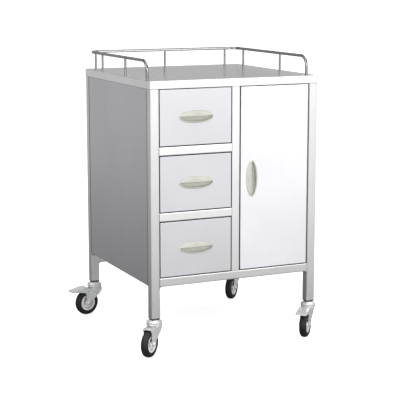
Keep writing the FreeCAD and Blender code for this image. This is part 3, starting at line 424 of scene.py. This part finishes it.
def stage_object(name, mesh_maker, material):
    """A thing of the studio, not of the cart; what it's seen by is set by the caller."""
    shape = bmesh.new()
    mesh_maker(shape)
    mesh = bpy.data.meshes.new(name)
    shape.to_mesh(mesh)
    shape.free()
    mesh.materials.append(material)
    thing = bpy.data.objects.new(name, mesh)
    bpy.context.scene.collection.objects.link(thing)
    return thing


def disc(shape):
    bmesh.ops.create_circle(shape, cap_ends=True, segments=64, radius=STUDIO)


def dome(shape):
    bmesh.ops.create_uvsphere(shape, u_segments=48, v_segments=24, radius=STUDIO)


def floor_and_backdrop():
    """A plain white floor and backdrop, and just below them the darker floor that lights the cart.

    The white ones are for the eye alone: light and reflections come from the lower floor, which is
    dim round the cart's feet, as a floor that the cart shades would be, and bright farther off.
    """
    pale = Shader("floor_white", Base_Color=(0.9, 0.9, 0.9, 1), Roughness=0.9,
                  Emission_Color=(1, 1, 1, 1), Emission_Strength=0.72)
    white = Shader("backdrop_white", Base_Color=(0, 0, 0, 1),
                   Emission_Color=(1, 1, 1, 1), Emission_Strength=1.1)
    shown = stage_object("floor", disc, pale.material), stage_object("backdrop", dome, white.material)
    for thing in shown:
        thing.visible_diffuse = False
        thing.visible_glossy = False
        thing.visible_shadow = False

    dim = Shader("floor_dim", Base_Color=(0, 0, 0, 1), Emission_Strength=1)
    length = dim.node("ShaderNodeVectorMath", operation="LENGTH")
    dim.join(dim.place, length.inputs[0])
    far = dim.between(length.outputs["Value"], 0, 1, 0.3, 5)
    fall = dim.colours(far, (0, grey(0.10)), (0.25, grey(0.42)), (1, grey(0.95)))
    split = dim.node("ShaderNodeSeparateXYZ")
    dim.join(dim.place, split.inputs["Vector"])
    ahead = dim.colours(dim.between(split.outputs["Y"], 0, 1, -1.5, 1.5), (0, grey(1)), (1, grey(0.5)))
    dim.join(dim.times(fall, ahead), dim.surface.inputs["Emission Color"])
    lower = stage_object("lower_floor", disc, dim.material)
    lower.location.z = -FLOOR_DROP
    lower.visible_camera = False
    lower.visible_shadow = False


def studio_world():
    """Soft light from all round, bright towards the front and above, grey behind and to the left."""
    world = bpy.data.worlds.new("studio")
    world.use_nodes = True
    tree = world.node_tree
    background = tree.nodes["Background"]
    direction = tree.nodes.new("ShaderNodeTexCoord").outputs["Generated"]
    facing = tree.nodes.new("ShaderNodeVectorMath")
    facing.operation = "DOT_PRODUCT"
    facing.inputs[1].default_value = Vector((0.35, -0.75, 0.45)).normalized()
    tree.links.new(direction, facing.inputs[0])
    split = tree.nodes.new("ShaderNodeSeparateXYZ")
    tree.links.new(direction, split.inputs["Vector"])

    def ramp(source, low, *stops):
        spread = tree.nodes.new("ShaderNodeMapRange")
        spread.inputs["From Min"].default_value = low
        tree.links.new(source, spread.inputs["Value"])
        made = tree.nodes.new("ShaderNodeValToRGB")
        elements = made.color_ramp.elements
        while len(elements) < len(stops):
            elements.new(0.5)
        for element, (position, value) in zip(elements, stops):
            element.position = position
            element.color = (value, value, value, 1)
        tree.links.new(spread.outputs["Result"], made.inputs["Fac"])
        return made.outputs["Color"]

    def times(first, second):
        product = tree.nodes.new("ShaderNodeVectorMath")
        product.operation = "MULTIPLY"
        tree.links.new(first, product.inputs[0])
        tree.links.new(second, product.inputs[1])
        return product.outputs["Vector"]

    glow = ramp(facing.outputs["Value"], -1, (0.0, 0.40), (0.3, 0.50), (0.6, 0.9), (1.0, 1.15))
    ceiling = ramp(split.outputs["Z"], 0, (0.45, 1), (0.55, 0.35), (0.8, 0.35), (0.9, 1.3))
    walls = ramp(split.outputs["X"], -1, (0.04, 0.3), (0.12, 1), (0.88, 1), (0.96, 0.3))
    tree.links.new(times(times(glow, ceiling), walls), background.inputs["Color"])
    bpy.context.scene.world = world


def softbox(name, place, aim, wide, tall, watts):
    light = bpy.data.lights.new(name, "AREA")
    light.shape = "RECTANGLE"
    light.size = wide
    light.size_y = tall
    light.energy = watts
    lamp = bpy.data.objects.new(name, light)
    bpy.context.scene.collection.objects.link(lamp)
    lamp.location = place
    lamp.rotation_mode = "QUATERNION"
    lamp.rotation_quaternion = (Vector(aim) - Vector(place)).to_track_quat("-Z", "Y")
    return lamp


def lights():
    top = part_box("tabletop")[1].z
    softbox("key", (0.9, -3.0, top + 1.1), (0.1, -0.3, top * 0.8), 2.2, 1.4, 33)
    low = softbox("low", (-0.6, -3.0, 0.4), (0, -0.3, 0.15), 2.4, 0.6, 40)
    low.visible_glossy = False
    softbox("left", (-2.1, -0.8, top + 1.3), (-0.3, 0, top), 1.6, 1.6, 24)


def camera():
    """The eye left of the cart's front and a little above its top, looking at its middle."""
    azimuth = math.radians(EYE_AZIMUTH)
    elevation = math.radians(EYE_ELEVATION)
    aim = Vector((AIM_RIGHT, 0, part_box("tabletop")[1].z - AIM_BELOW_TOP))
    back = Vector((math.sin(azimuth) * math.cos(elevation),
                   -math.cos(azimuth) * math.cos(elevation), math.sin(elevation)))
    data = bpy.data.cameras.new("camera")
    data.sensor_width = 36
    data.lens = LENS
    data.clip_end = 2 * STUDIO
    eye = bpy.data.objects.new("camera", data)
    bpy.context.scene.collection.objects.link(eye)
    eye.location = aim + back * EYE_DISTANCE
    eye.rotation_mode = "QUATERNION"
    eye.rotation_quaternion = (-back).to_track_quat("-Z", "Y")
    bpy.context.scene.camera = eye


finish_frame()
weld_corners(bpy.data.materials["steel_upright"])
# The dark plug plastic stands in for shadow in these lines under the rim and at the panel joints.
painted_shadow_lines(bpy.data.materials["plug_plastic"])
floor_and_backdrop()
studio_world()
lights()
camera()
bpy.context.scene.view_settings.view_transform = "Standard"
